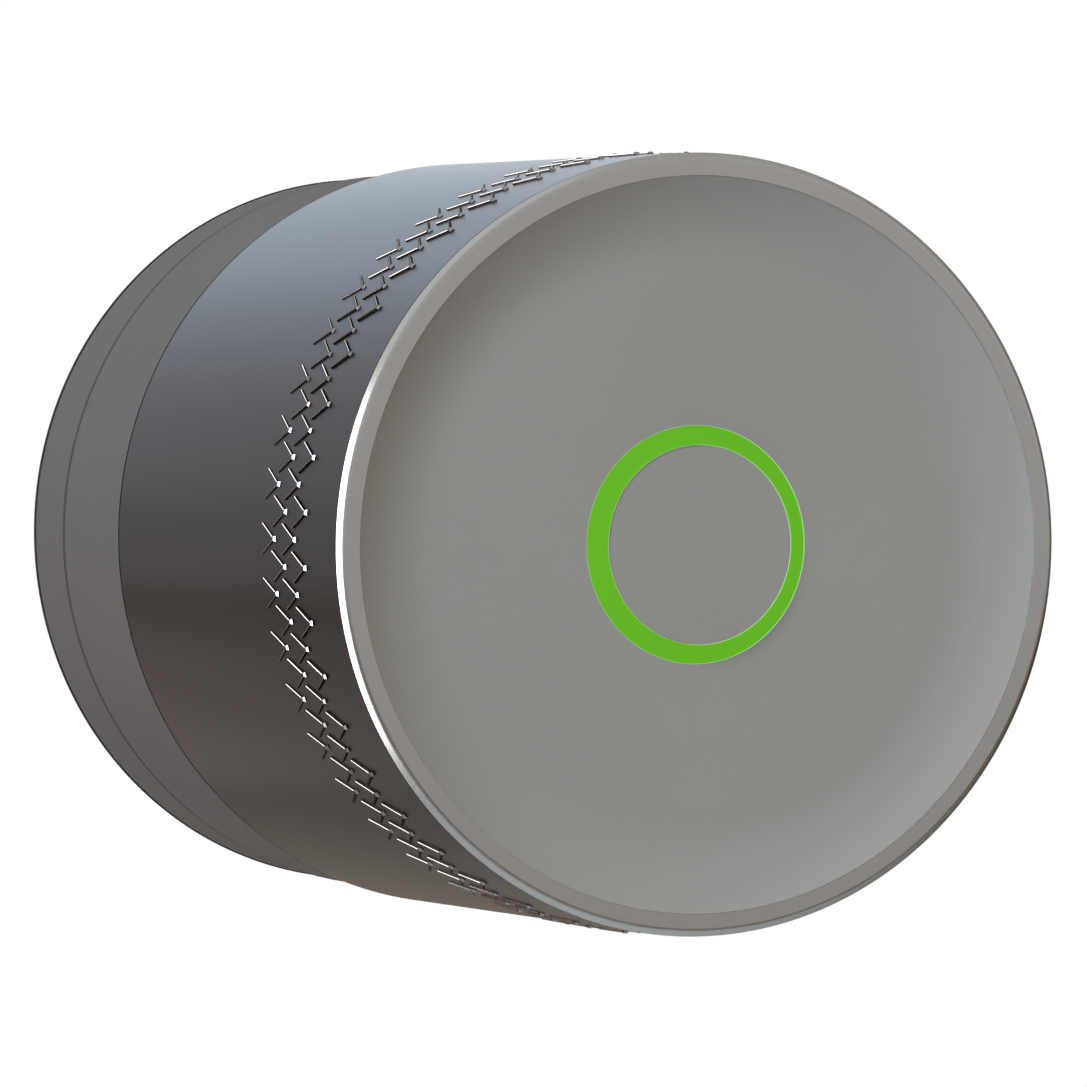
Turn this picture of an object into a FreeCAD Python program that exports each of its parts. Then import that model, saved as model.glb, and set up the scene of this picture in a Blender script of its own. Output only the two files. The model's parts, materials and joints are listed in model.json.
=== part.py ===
import FreeCAD, Part
import math
import os

# A motorised knob lock for the inside of a door. All sizes are in millimetres.
# Every piece is built along a local Z axis, where the height is the distance from the door face,
# and is laid down at the end, so that the front looks along -Y and +Z is up.

Vector = FreeCAD.Vector

# Fits and gaps
fit = 0.05
running_fit = 0.1
play = 0.2
face_gap = 0.3
edge_break = 0.25
cut_margin = 1.0

# Cells, which set how wide and how deep the knob is, and the cage that holds them
cell_radius = 8.5
cell_length = 34.5
cell_nub_radius = 3.2
cell_nub_height = 0.9
cell_edge_round = 0.6
cell_angles = (135.0, 225.0, 315.0)
motor_angle = 45.0
cage_clearance = 0.25
cage_wall = 0.8
cage_web = 0.6
cage_floor = 0.8
cage_column_radius = 3.4
cage_column_height = 12.0
cage_column_seat = 8.0
motor_sleeve_height = 15.0
contact_height = 1.2
contact_radius = 5.0
contact_cone_radius = 4.0
contact_tip_radius = 2.2
contact_sheet = 0.3

# Screws as head radius, head height and shank radius
fine_head_radius = 1.15
fine_head_height = 0.95
fine_shank_radius = 0.6
small_head_radius = 1.5
small_head_height = 1.1
small_shank_radius = 0.8
column_head_radius = 1.9
column_head_height = 1.6
column_shank_radius = 1.0
screw_slack = 0.1
screw_bite = 3.0

# Main board, on edge beside the cells
board_gap = 1.4
main_board_thickness = 1.2
main_board_half_width = 13.5
main_board_setback = 3.1
board_room = 4.55
rail_width = 2.0
rail_lip = 1.0
rail_depth = 1.6

# Parts on the outer face of the main board: sideways start and end as shares of its half width,
# start and end along it as shares of its length, and height
chip_outlines = (
    (-0.66, -0.15, 0.13, 0.36, 1.0),
    (0.22, 0.66, 0.10, 0.23, 0.9),
    (-0.60, -0.30, 0.52, 0.65, 1.4),
    (-0.11, 0.04, 0.46, 0.59, 0.8),
)
buzzer_radius = 2.2
buzzer_height = 1.8
buzzer_place = (0.45, 0.39)
radio_carrier = (-0.52, 0.52, 0.70, 0.97, 0.6)
radio_can = (-0.33, 0.48, 0.72, 0.95, 2.0)

# Spring pins that reach from the main board to the front board
pin_radius = 0.4
pin_spacing = 3.0
pin_count = 4
pin_block_depth = 1.1
pin_block_height = 3.4

# Knob: chassis, outer sleeve and front cover
chassis_wall = 1.3
chassis_boss_radius = 2.2
column_inset = 1.85
web_thickness = 3.0
sleeve_wall = 1.9
sleeve_taper = 0.45
sleeve_gap = 0.4
sleeve_front_round = 0.45
sleeve_screw_start = 60.0
lug_thickness = 1.4
lug_width = 7.0
magnet_start = 0.0
magnet_radius = 1.5
magnet_thickness = 2.0
magnet_wall = 0.6
magnet_floor = 1.0
cover_space = 2.9
cover_floor = 1.5
cover_skirt_wall = 1.4
dish_depth = 1.3
dish_rim_width = 6.35

# Raised chevrons round the sleeve
rib_rows = 92
rib_start_angle = -0.9
rib_apex_from_front = (11.1, 9.1)
rib_pitch = 4.1
ribs_per_row = 2
rib_leg_reach = 2.35
rib_leg_spread = 1.1
rib_width = 0.3
rib_rise = 0.2
rib_root = 0.3

# Base housing, the front grey band that holds the turning knob
sleeve_lip = 0.5
housing_wall = 1.5
housing_overlap = 0.4
washer_thickness = 0.3
washer_inset = 0.5
spigot_length = 3.9
spigot_wall = 1.6
floor_ring_thickness = 1.5

# Mounting plate, the rear grey band that is screwed to the door
plate_step = 0.2
plate_height = 7.6
plate_wall = 2.0
plate_floor = 2.4
spindle_hole_radius = 12.0
fixing_spacing = 38.0
fixing_hole_radius = 2.75
fixing_boss_radius = 5.2
fixing_boss_rise = 0.6

# Set screws through the plate into the spigot, from below
set_screw_radius = 1.45
set_screw_length = 3.2
set_screw_angles = (255.0, 285.0)

# Journal of the knob and the ring that it turns in
glide_ring_wall = 0.95
journal_wall = 1.55
journal_flange_lip = 0.45
journal_plate_thickness = 2.0
journal_screw_start = 0.0
ledge_thickness = 1.5
ledge_width = 1.0

# Gears, all of one module with short teeth
pressure_angle = math.radians(20.0)
addendum_in_modules = 0.7
dedendum_in_modules = 0.95
backlash = 0.1
flank_points = 4
ring_teeth = 80
output_pinion_teeth = 14
output_gear_teeth = 28
idler_small_teeth = 12
idler_large_teeth = 32
motor_pinion_teeth = 10
ring_face = 3.0
middle_face = 2.4
upper_face = 2.2
gear_gap = 0.5
plate_gap = 0.6
ring_shoulder = 2.8
ring_rim = 4.2
ring_floor_width = 3.3
ring_screw_inset = 1.85
ring_screw_start = 30.0
output_stem_radius = 1.9
pivot_radius = 1.0
spacer_radius = 1.7

# Drive hub for an 8 mm square spindle
hub_radius = 7.0
hub_rear = 2.8
hub_flange_radius = 11.0
hub_flange_thickness = 2.0
hub_screw_start = 40.0
spindle_square = 8.2
spindle_depth = 9.0

# Motor plate and motor
motor_plate_thickness = 1.5
motor_plate_screw_start = 30.0
plate_boss_radius = 1.6
motor_radius = 8.0
motor_length = 30.0
gearbox_length = 10.0
gearbox_collar = 0.25
motor_boss_radius = 3.5
motor_shaft_radius = 1.0
motor_shaft_reach = 4.0
motor_cap_radius = 4.0
motor_cap_height = 1.5
motor_screw_offset = 5.5

# Light ring, button, switch and front board
light_outer_radius = 8.75
light_inner_radius = 7.3
light_rise = 0.7
light_flange_radius = 10.2
light_foot_inner_radius = 8.2
button_round = 0.15
button_skin = 1.2
button_flange_thickness = 0.7
button_stem_radius = 1.5
button_travel = 0.4
switch_size = 6.0
switch_height = 1.3
switch_floor = 0.2
plunger_radius = 0.8
plunger_length = 1.2
front_board_inset = 1.8
front_board_thickness = 1.0
board_post_inset = 3.5
board_post_radius = 2.0
board_post_start = 90.0
light_count = 12
light_size = 1.2
light_height = 0.6

# Radii, from the cells outwards and then inwards again to the gears
cell_circle = (2 * (cell_radius + cage_clearance) + cage_web) / math.sqrt(2)
cage_reach = cell_circle / math.sqrt(2) + cell_radius + cage_clearance + cage_wall
main_board_inner = cage_reach + board_gap
chassis_inner = main_board_inner + main_board_thickness + board_room
chassis_radius = chassis_inner + chassis_wall
sleeve_bore = chassis_radius + fit
sleeve_radius = sleeve_bore + sleeve_wall
sleeve_front_radius = sleeve_radius - sleeve_taper
sleeve_screw_circle = chassis_inner - column_inset
magnet_circle = sleeve_screw_circle
cover_radius = sleeve_bore - running_fit - fit
cover_skirt_inner = cover_radius - cover_skirt_wall
dish_flat_radius = cover_radius - dish_rim_width
front_board_radius = magnet_circle - front_board_inset
board_post_circle = front_board_radius - board_post_inset
housing_radius = sleeve_radius - sleeve_lip
glide_seat_radius = housing_radius - housing_wall
glide_bore = glide_seat_radius - glide_ring_wall
washer_outer_radius = housing_radius - washer_inset
washer_inner_radius = glide_seat_radius - washer_inset
journal_radius = glide_bore - running_fit
journal_inner = journal_radius - journal_wall
journal_flange_radius = glide_bore + journal_flange_lip
journal_screw_circle = journal_radius - journal_wall / 2
motor_plate_screw_circle = journal_inner - plate_boss_radius
plate_radius = housing_radius - plate_step
plate_inner_radius = plate_radius - plate_wall
spigot_radius = plate_inner_radius - running_fit
ring_gear_radius = glide_seat_radius - ring_shoulder
ring_screw_circle = ring_gear_radius - ring_screw_inset
floor_ring_bore = ring_gear_radius - ring_floor_width
hub_screw_circle = (hub_radius + hub_flange_radius) / 2
module = 2 * (ring_gear_radius - ring_rim) / ring_teeth
addendum = addendum_in_modules * module
dedendum = dedendum_in_modules * module
upper_distance = module * (idler_large_teeth + motor_pinion_teeth) / 2
middle_distance = module * (output_gear_teeth + idler_small_teeth) / 2
output_circle = module * (ring_teeth - output_pinion_teeth) / 2
button_radius = light_inner_radius - running_fit

# Heights, from the door to the front
spigot_rear = plate_height - spigot_length
ring_rear = plate_height + floor_ring_thickness
ring_front = ring_rear + ring_face
ring_screw_seat = ring_front - small_head_height - play
shoulder_height = ring_front + play
journal_rear = shoulder_height + 2 * play
journal_screw_seat = journal_rear + fine_head_height + fit
hub_flange_rear = journal_rear - hub_flange_thickness
journal_front = journal_rear + journal_plate_thickness
middle_rear = journal_front + 2 * play
middle_front = middle_rear + middle_face
upper_rear = middle_front + gear_gap
upper_front = upper_rear + upper_face
motor_plate_rear = upper_front + plate_gap
motor_plate_front = motor_plate_rear + motor_plate_thickness
housing_front = motor_plate_rear + housing_overlap
sleeve_rear = housing_front + sleeve_gap
web_rear = sleeve_rear + face_gap
web_front = web_rear + web_thickness
column_seat_height = motor_plate_front + cage_column_seat
cage_top_of_floor = motor_plate_front + cage_floor
cell_rear = cage_top_of_floor + contact_height
cell_front = cell_rear + cell_length
cage_front = cell_front - 2 * face_gap
chassis_front = cell_front - face_gap
main_board_rear = web_front
main_board_front = chassis_front - main_board_setback
main_board_length = main_board_front - main_board_rear
lug_front = chassis_front + lug_thickness
skirt_rear = lug_front + face_gap
front_board_rear = cell_front + face_gap + contact_height
front_board_front = front_board_rear + front_board_thickness
cover_underside = front_board_front + cover_space
dish_floor = cover_underside + cover_floor
overall_depth = dish_floor + dish_depth
button_top = dish_floor + light_rise
button_flange_front = cover_underside - running_fit
plunger_rear = front_board_front + switch_floor + button_travel + running_fit
plunger_front = plunger_rear + plunger_length

fine_screw = (fine_head_radius, fine_head_height, fine_shank_radius)
small_screw = (small_head_radius, small_head_height, small_shank_radius)
column_screw = (column_head_radius, column_head_height, column_shank_radius)


def polar(radius, degrees):
    angle = math.radians(degrees)
    return radius * math.cos(angle), radius * math.sin(angle)


def cylinder(radius, rear, front, place=(0.0, 0.0)):
    return Part.makeCylinder(radius, front - rear, Vector(place[0], place[1], rear))


def ring(outer, inner, rear, front, place=(0.0, 0.0)):
    return cylinder(outer, rear, front, place).cut(cylinder(inner, rear, front, place))


def block(x_low, x_high, y_low, y_high, rear, front):
    return Part.makeBox(x_high - x_low, y_high - y_low, front - rear, Vector(x_low, y_low, rear))


def turned(shape, degrees):
    copy = shape.copy()
    copy.rotate(Vector(0, 0, 0), Vector(0, 0, 1), degrees)
    return copy


def around(shape, angles):
    return [turned(shape, angle) for angle in angles]


def thirds(start):
    return [start + 120.0 * step for step in range(3)]


def joined(shape, others):
    return shape.fuse(others).removeSplitter()


def circle_edges(shape, radius, height):
    found = []
    for edge in shape.Edges:
        curve = edge.Curve
        if isinstance(curve, Part.Circle) and abs(curve.Radius - radius) < 1e-6:
            if abs(curve.Center.z - height) < 1e-6:
                found.append(edge)
    return found


def lathe(points):
    corners = [Vector(radius, 0, height) for radius, height in points + points[:1]]
    return Part.Face(Part.makePolygon(corners)).revolve(Vector(0, 0, 0), Vector(0, 0, 1), 360)


def screw(place, seat, size, length, way):
    # A flat-headed screw with a hexagon socket as wide as its shank. The shank runs from the seat
    # to the front where "way" is 1 and to the rear where it is -1.
    head_radius, head_height, shank_radius = size
    x, y = place
    along = Vector(0, 0, way)
    head = Part.makeCylinder(head_radius, head_height, Vector(x, y, seat), along * -1)
    shank = Part.makeCylinder(shank_radius, length, Vector(x, y, seat), along)
    top = Vector(x, y, seat - way * head_height)
    corners = [top + Vector(*polar(shank_radius, 60 * corner), 0) for corner in range(7)]
    socket = Part.Face(Part.makePolygon(corners)).extrude(along * (head_height / 2))
    return head.fuse(shank).cut(socket)


def screw_hole(place, size, rear, front):
    return cylinder(size[2], rear, front, place)


def clear_hole(place, size, rear, front):
    return cylinder(size[2] + screw_slack, rear, front, place)


def head_hole(place, size, rear, front):
    return cylinder(size[0] + screw_slack, rear, front, place)


def involute(angle):
    return math.tan(angle) - angle


def gear_profile(teeth, tip, root, pitch_width, first_tooth):
    # Closed outline of an external gear; "first_tooth" is the direction of one tooth in degrees.
    pitch_radius = module * teeth / 2
    base_radius = pitch_radius * math.cos(pressure_angle)
    tip_radius = pitch_radius + tip
    root_radius = pitch_radius - root
    flank_start = max(base_radius, root_radius)
    flank = []
    for step in range(flank_points):
        radius = flank_start + (tip_radius - flank_start) * step / (flank_points - 1)
        turn = involute(pressure_angle) - involute(math.acos(base_radius / radius))
        flank.append((radius, pitch_width / (2 * pitch_radius) + turn))
    if flank_start > root_radius:
        flank.insert(0, (root_radius, flank[0][1]))

    def point(radius, angle):
        return Vector(radius * math.cos(angle), radius * math.sin(angle), 0)

    edges = []
    tooth_step = 2 * math.pi / teeth
    for tooth in range(teeth):
        middle = math.radians(first_tooth) + tooth * tooth_step
        rising = [point(radius, middle - half) for radius, half in flank]
        falling = [point(radius, middle + half) for radius, half in reversed(flank)]
        next_root = point(root_radius, middle + tooth_step - flank[0][1])
        edges += [Part.LineSegment(a, b).toShape() for a, b in zip(rising, rising[1:])]
        edges.append(Part.Arc(rising[-1], point(tip_radius, middle), falling[0]).toShape())
        edges += [Part.LineSegment(a, b).toShape() for a, b in zip(falling, falling[1:])]
        edges.append(Part.Arc(falling[-1], point(root_radius, middle + tooth_step / 2), next_root).toShape())
    return Part.Face(Part.Wire(edges))


def gear(teeth, rear, front, place, first_tooth):
    face = gear_profile(teeth, addendum, dedendum, math.pi * module / 2 - backlash / 2, first_tooth)
    solid = face.extrude(Vector(0, 0, front - rear))
    solid.translate(Vector(place[0], place[1], rear))
    return solid


def gear_places():
    # The motor sits in the ring of cells, the idler beside it, and the output gear on its own circle.
    motor = polar(cell_circle, motor_angle)
    idler = (motor[0] - upper_distance, motor[1])
    idler_circle = math.hypot(*idler)
    spread = math.acos((output_circle ** 2 + idler_circle ** 2 - middle_distance ** 2)
                       / (2 * output_circle * idler_circle))
    output_angle = math.degrees(math.atan2(idler[1], idler[0]) + spread)
    return motor, idler, polar(output_circle, output_angle), output_angle


motor_place, idler_place, output_place, output_angle = gear_places()
output_to_idler = math.degrees(math.atan2(idler_place[1] - output_place[1], idler_place[0] - output_place[0]))
idler_to_motor = 0.0


def mounting_plate():
    body = cylinder(plate_radius, 0, plate_height)
    body = body.cut(cylinder(plate_inner_radius, plate_floor, plate_height))
    body = body.makeChamfer(edge_break, circle_edges(body, plate_radius, plate_height))
    sides = [(-fixing_spacing / 2, 0.0), (fixing_spacing / 2, 0.0)]
    boss_top = plate_floor + fixing_boss_rise
    body = joined(body, [cylinder(fixing_boss_radius, 0, boss_top, place) for place in sides])
    holes = [cylinder(fixing_hole_radius, -cut_margin, boss_top + cut_margin, place) for place in sides]
    holes.append(cylinder(spindle_hole_radius, -cut_margin, plate_floor + cut_margin))
    holes += [set_screw_hole(angle) for angle in set_screw_angles]
    return body.cut(holes)


def set_screw_line(angle, radius):
    # The point of a set screw's line at a radius, and the way out along it.
    x, y = polar(radius, angle)
    return Vector(x, y, (spigot_rear + plate_height) / 2), Vector(x, y, 0)


def set_screw_hole(angle):
    start, outward = set_screw_line(angle, spigot_radius - spigot_wall - cut_margin)
    length = plate_wall + spigot_wall + running_fit + 2 * cut_margin
    return Part.makeCylinder(set_screw_radius + fit, length, start, outward)


def set_screws():
    screws = []
    for angle in set_screw_angles:
        start, outward = set_screw_line(angle, plate_radius - face_gap)
        body = Part.makeCylinder(set_screw_radius, set_screw_length, start, outward * -1)
        socket = Part.makeCylinder(set_screw_radius / 2, set_screw_length / 3, start, outward * -1)
        screws.append(body.cut(socket))
    return Part.makeCompound(screws)


def base_housing():
    band = cylinder(housing_radius, plate_height, housing_front)
    rims = [edge for height in (plate_height, housing_front)
            for edge in circle_edges(band, housing_radius, height)]
    band = band.makeChamfer(edge_break, rims)
    body = joined(band, [cylinder(spigot_radius, spigot_rear, plate_height + cut_margin)])
    hollow = [
        cylinder(spigot_radius - spigot_wall, spigot_rear - cut_margin, plate_height),
        cylinder(floor_ring_bore, plate_height - cut_margin, ring_rear + cut_margin),
        cylinder(ring_gear_radius + fit, ring_rear, shoulder_height + cut_margin),
        cylinder(glide_seat_radius, shoulder_height, housing_front + cut_margin),
    ]
    for place in ring_screw_places():
        hollow.append(screw_hole(place, small_screw, plate_height - cut_margin, ring_rear + cut_margin))
    hollow += [set_screw_hole(angle) for angle in set_screw_angles]
    return body.cut(hollow)


def felt_washer():
    return ring(washer_outer_radius, washer_inner_radius, housing_front, housing_front + washer_thickness)


def glide_ring():
    return ring(glide_seat_radius, glide_bore, journal_front + play, housing_front)


def ring_screw_places():
    return [polar(ring_screw_circle, angle) for angle in thirds(ring_screw_start)]


def ring_gear():
    space_width = math.pi * module / 2 + backlash / 2
    hole = gear_profile(ring_teeth, dedendum, addendum, space_width, output_angle)
    hole.translate(Vector(0, 0, ring_rear - cut_margin))
    cuts = [hole.extrude(Vector(0, 0, ring_face + 2 * cut_margin))]
    for place in ring_screw_places():
        cuts.append(clear_hole(place, small_screw, ring_rear - cut_margin, ring_front + cut_margin))
        cuts.append(head_hole(place, small_screw, ring_screw_seat, ring_front + cut_margin))
    return cylinder(ring_gear_radius, ring_rear, ring_front).cut(cuts)


def ring_gear_screws():
    length = ring_screw_seat - plate_height - play
    return Part.makeCompound([screw(place, ring_screw_seat, small_screw, length, -1)
                              for place in ring_screw_places()])


def journal_screw_places():
    return [polar(journal_screw_circle, angle) for angle in thirds(journal_screw_start)]


def journal_plate():
    plate = cylinder(journal_flange_radius, journal_rear, journal_front)
    through = (journal_rear - cut_margin, journal_front + cut_margin)
    cuts = [
        cylinder(output_stem_radius + fit, *through, output_place),
        cylinder(pivot_radius, journal_rear + play, journal_front + cut_margin, idler_place),
    ]
    for place in journal_screw_places():
        cuts.append(clear_hole(place, fine_screw, *through))
        cuts.append(head_hole(place, fine_screw, journal_rear - cut_margin, journal_screw_seat))
    for place in hub_screw_places():
        cuts.append(screw_hole(place, small_screw, journal_rear - cut_margin, journal_front - play))
    return plate.cut(cuts)


def journal_screws():
    length = journal_front - journal_screw_seat + screw_bite
    return Part.makeCompound([screw(place, journal_screw_seat, fine_screw, length, 1)
                              for place in journal_screw_places()])


def hub_screw_places():
    return [polar(hub_screw_circle, angle) for angle in thirds(hub_screw_start)]


def drive_hub():
    body = cylinder(hub_radius, hub_rear, journal_rear)
    body = joined(body, [cylinder(hub_flange_radius, hub_flange_rear, journal_rear)])
    half = spindle_square / 2
    cuts = [block(-half, half, -half, half, hub_rear - cut_margin, hub_rear + spindle_depth - play)]
    for place in hub_screw_places():
        cuts.append(clear_hole(place, small_screw, hub_flange_rear - cut_margin, journal_rear + cut_margin))
    return body.cut(cuts)


def hub_screws():
    length = hub_flange_thickness + journal_plate_thickness - 2 * play
    return Part.makeCompound([screw(place, hub_flange_rear, small_screw, length, 1)
                              for place in hub_screw_places()])


def output_gear():
    wheel = gear(output_gear_teeth, middle_rear, middle_front, output_place, output_to_idler)
    stem = cylinder(output_stem_radius, ring_rear, middle_front, output_place)
    pivot = cylinder(pivot_radius, middle_front, motor_plate_front - play, output_place)
    return joined(wheel, [stem, pivot])


def output_pinion():
    wheel = gear(output_pinion_teeth, ring_rear, ring_front, output_place, output_angle)
    through = (ring_rear - cut_margin, ring_front + cut_margin)
    return wheel.cut(cylinder(output_stem_radius, *through, output_place))


def idler_gear():
    space_to_output = output_to_idler + 180.0 + 180.0 / idler_small_teeth
    small = gear(idler_small_teeth, middle_rear, middle_front, idler_place, space_to_output)
    large = gear(idler_large_teeth, upper_rear, upper_front, idler_place, idler_to_motor)
    neck = cylinder(spacer_radius, journal_front + play, upper_front + play, idler_place)
    bore = cylinder(pivot_radius + fit, journal_front, motor_plate_rear, idler_place)
    return joined(small, [large, neck]).cut(bore)


def idler_pin():
    return cylinder(pivot_radius, journal_rear + play, motor_plate_front, idler_place)


def motor_pinion():
    space_to_idler = idler_to_motor + 180.0 + 180.0 / motor_pinion_teeth
    wheel = gear(motor_pinion_teeth, upper_rear, upper_front, motor_place, space_to_idler)
    through = (upper_rear - cut_margin, upper_front + cut_margin)
    return wheel.cut(cylinder(motor_shaft_radius, *through, motor_place))


def motor_shaft():
    return cylinder(motor_shaft_radius, upper_rear - play, motor_plate_front + motor_shaft_reach, motor_place)


def motor_screw_places():
    x, y = motor_place
    return [(x, y + motor_screw_offset), (x, y - motor_screw_offset)]


def motor_plate_screw_angles():
    return thirds(motor_plate_screw_start)


def motor_plate_screw_places():
    return [polar(motor_plate_screw_circle, angle) for angle in motor_plate_screw_angles()]


def motor_plate():
    plate = cylinder(journal_inner - running_fit, motor_plate_rear, motor_plate_front)
    through = (motor_plate_rear - cut_margin, motor_plate_front + cut_margin)
    cuts = [
        cylinder(motor_boss_radius + running_fit, *through, motor_place),
        cylinder(pivot_radius, *through, idler_place),
        cylinder(pivot_radius + fit, *through, output_place),
        screw_hole((0.0, 0.0), column_screw, *through),
    ]
    for place in motor_screw_places() + motor_plate_screw_places():
        cuts.append(clear_hole(place, small_screw, *through))
    return plate.cut(cuts)


def motor_plate_screws():
    length = motor_plate_thickness + ledge_thickness
    return Part.makeCompound([screw(place, motor_plate_front, small_screw, length, -1)
                              for place in motor_plate_screw_places()])


def gear_motor():
    top = motor_plate_front + motor_length
    gearbox = cylinder(motor_radius, motor_plate_front, motor_plate_front + gearbox_length, motor_place)
    can = cylinder(motor_radius - gearbox_collar, motor_plate_front, top, motor_place)
    boss = cylinder(motor_boss_radius, motor_plate_rear + play, motor_plate_front + cut_margin, motor_place)
    cap = cylinder(motor_cap_radius, top, top + motor_cap_height, motor_place)
    body = joined(gearbox, [can, boss, cap])
    shaft_end = motor_plate_front + motor_shaft_reach + play
    cuts = [cylinder(motor_shaft_radius + fit, motor_plate_rear, shaft_end, motor_place)]
    for place in motor_screw_places():
        cuts.append(screw_hole(place, small_screw, motor_plate_front - play, motor_plate_front + screw_bite))
    return body.cut(cuts)


def motor_screws():
    length = motor_plate_thickness + screw_bite - play
    return Part.makeCompound([screw(place, motor_plate_rear, small_screw, length, 1)
                              for place in motor_screw_places()])


def cell_places():
    return [polar(cell_circle, angle) for angle in cell_angles]


def battery_cage():
    bore = cell_radius + cage_clearance
    motor_bore = motor_radius + cage_clearance
    below = motor_plate_front - cut_margin
    column_front = motor_plate_front + cage_column_height
    shells = [cylinder(bore + cage_wall, motor_plate_front, cage_front, place) for place in cell_places()]
    shells.append(cylinder(motor_bore + cage_wall, motor_plate_front,
                           motor_plate_front + motor_sleeve_height, motor_place))
    shells.append(cylinder(cage_column_radius, motor_plate_front, column_front))
    cuts = [cylinder(bore, cage_top_of_floor, cage_front + cut_margin, place) for place in cell_places()]
    cuts.append(cylinder(motor_bore, below, cage_front, motor_place))
    cuts.append(clear_hole((0.0, 0.0), column_screw, below, column_front + cut_margin))
    cuts.append(head_hole((0.0, 0.0), column_screw, column_seat_height, column_front + cut_margin))
    for place in motor_plate_screw_places():
        cuts.append(head_hole(place, small_screw, below, motor_plate_front + small_screw[1] + play))
    return joined(shells[0], shells[1:]).cut(cuts)


def cage_screw():
    return screw((0.0, 0.0), column_seat_height, column_screw, column_seat_height - motor_plate_rear, -1)


def battery_cells():
    shoulder = cell_front - cell_nub_height
    cells = []
    for place in cell_places():
        can = cylinder(cell_radius, cell_rear, shoulder, place)
        rims = circle_edges(can, cell_radius, cell_rear) + circle_edges(can, cell_radius, shoulder)
        can = can.makeFillet(cell_edge_round, rims)
        cells.append(can.fuse(cylinder(cell_nub_radius, shoulder, cell_front, place)))
    return Part.makeCompound(cells)


def contact(place, root, way):
    # A conical spring contact with its wide end on its carrier.
    x, y = place
    along = Vector(0, 0, way)
    sheet = Part.makeCylinder(contact_radius, contact_sheet, Vector(x, y, root), along)
    start = Vector(x, y, root + way * contact_sheet)
    height = contact_height - contact_sheet
    cone = Part.makeCone(contact_cone_radius, contact_tip_radius, height, start, along)
    return sheet.fuse(cone)


def rear_contacts():
    return Part.makeCompound([contact(place, cage_top_of_floor, 1) for place in cell_places()])


def front_contacts():
    return Part.makeCompound([contact(place, front_board_rear, -1) for place in cell_places()])


def sleeve_screw_angles():
    return thirds(sleeve_screw_start)


def magnet_angles():
    return thirds(magnet_start)


def board_rail(side):
    # One of the two grooved rails that hold the main board on edge.
    edge = side * main_board_half_width
    low, high = sorted((edge - side * rail_lip, edge + side * rail_width))
    rail = block(main_board_inner - rail_depth, chassis_radius, low, high, web_front, main_board_front)
    return rail.common(cylinder(chassis_inner + chassis_wall / 2, web_front, main_board_front))


def magnet_pad():
    rear = chassis_front - magnet_thickness - magnet_floor
    pad = cylinder(magnet_radius + magnet_wall, rear, chassis_front, (magnet_circle, 0.0))
    bridge = block(magnet_circle, chassis_inner + chassis_wall / 2,
                   -magnet_radius, magnet_radius, rear, chassis_front)
    return pad.fuse(bridge)


def chassis():
    ledge_rear = motor_plate_rear - ledge_thickness
    tube = ring(chassis_radius, chassis_inner, web_rear, chassis_front)
    journal = ring(journal_radius, journal_inner, journal_front, web_front)
    web = ring(chassis_radius, journal_inner, web_rear, web_front)
    ledge = ring(journal_radius, journal_inner - ledge_width, ledge_rear, motor_plate_rear)
    column = cylinder(chassis_boss_radius, web_rear + fit, chassis_front, (sleeve_screw_circle, 0.0))
    column = column.cut(cylinder(journal_inner, web_rear, web_front))
    plate_boss = cylinder(plate_boss_radius, ledge_rear, motor_plate_rear, (motor_plate_screw_circle, 0.0))
    additions = [journal, web, ledge, board_rail(-1), board_rail(1)]
    additions += around(column, sleeve_screw_angles())
    additions += around(magnet_pad(), magnet_angles())
    additions += around(plate_boss, motor_plate_screw_angles())
    board_slot = block(main_board_inner - fit, main_board_inner + main_board_thickness + fit,
                       -main_board_half_width - fit, main_board_half_width + fit,
                       web_front, main_board_front + cut_margin)
    pocket = cylinder(magnet_radius, chassis_front - magnet_thickness, chassis_front + cut_margin,
                      (magnet_circle, 0.0))
    sleeve_hole = screw_hole((sleeve_screw_circle, 0.0), small_screw,
                             chassis_front - 2 * screw_bite, chassis_front + cut_margin)
    plate_hole = screw_hole((motor_plate_screw_circle, 0.0), small_screw,
                            ledge_rear - cut_margin, motor_plate_rear + cut_margin)
    cuts = [board_slot]
    cuts += around(pocket, magnet_angles())
    cuts += around(sleeve_hole, sleeve_screw_angles())
    cuts += around(plate_hole, motor_plate_screw_angles())
    for place in journal_screw_places():
        bite = (journal_front - cut_margin, journal_front + screw_bite + play)
        cuts.append(screw_hole(place, fine_screw, *bite))
    return joined(tube, additions).cut(cuts)


def rib(apex_height):
    # One raised chevron with its point to the front, at the +X side of the slightly tapered sleeve.
    leg = math.hypot(rib_leg_reach, rib_leg_spread)
    half_width = rib_width / 2
    point = half_width * leg / rib_leg_spread
    sideways = half_width * rib_leg_reach / leg
    lengthways = half_width * rib_leg_spread / leg
    along_sleeve = (apex_height - sleeve_rear) / (overall_depth - sleeve_rear)
    seat_radius = sleeve_radius - sleeve_taper * along_sleeve
    outline = [
        (0.0, point),
        (rib_leg_spread + sideways, -rib_leg_reach + lengthways),
        (rib_leg_spread - sideways, -rib_leg_reach - lengthways),
        (0.0, -point),
        (-rib_leg_spread + sideways, -rib_leg_reach - lengthways),
        (-rib_leg_spread - sideways, -rib_leg_reach + lengthways),
    ]
    corners = [Vector(seat_radius - rib_root, y, apex_height + z) for y, z in outline + outline[:1]]
    return Part.Face(Part.makePolygon(corners)).extrude(Vector(rib_root + rib_rise, 0, 0))


def ribs():
    shapes = []
    for row in range(rib_rows):
        first = overall_depth - rib_apex_from_front[row % len(rib_apex_from_front)]
        for step in range(ribs_per_row):
            piece = rib(first + step * rib_pitch)
            shapes.append(turned(piece, rib_start_angle + row * 360.0 / rib_rows))
    return shapes


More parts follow.
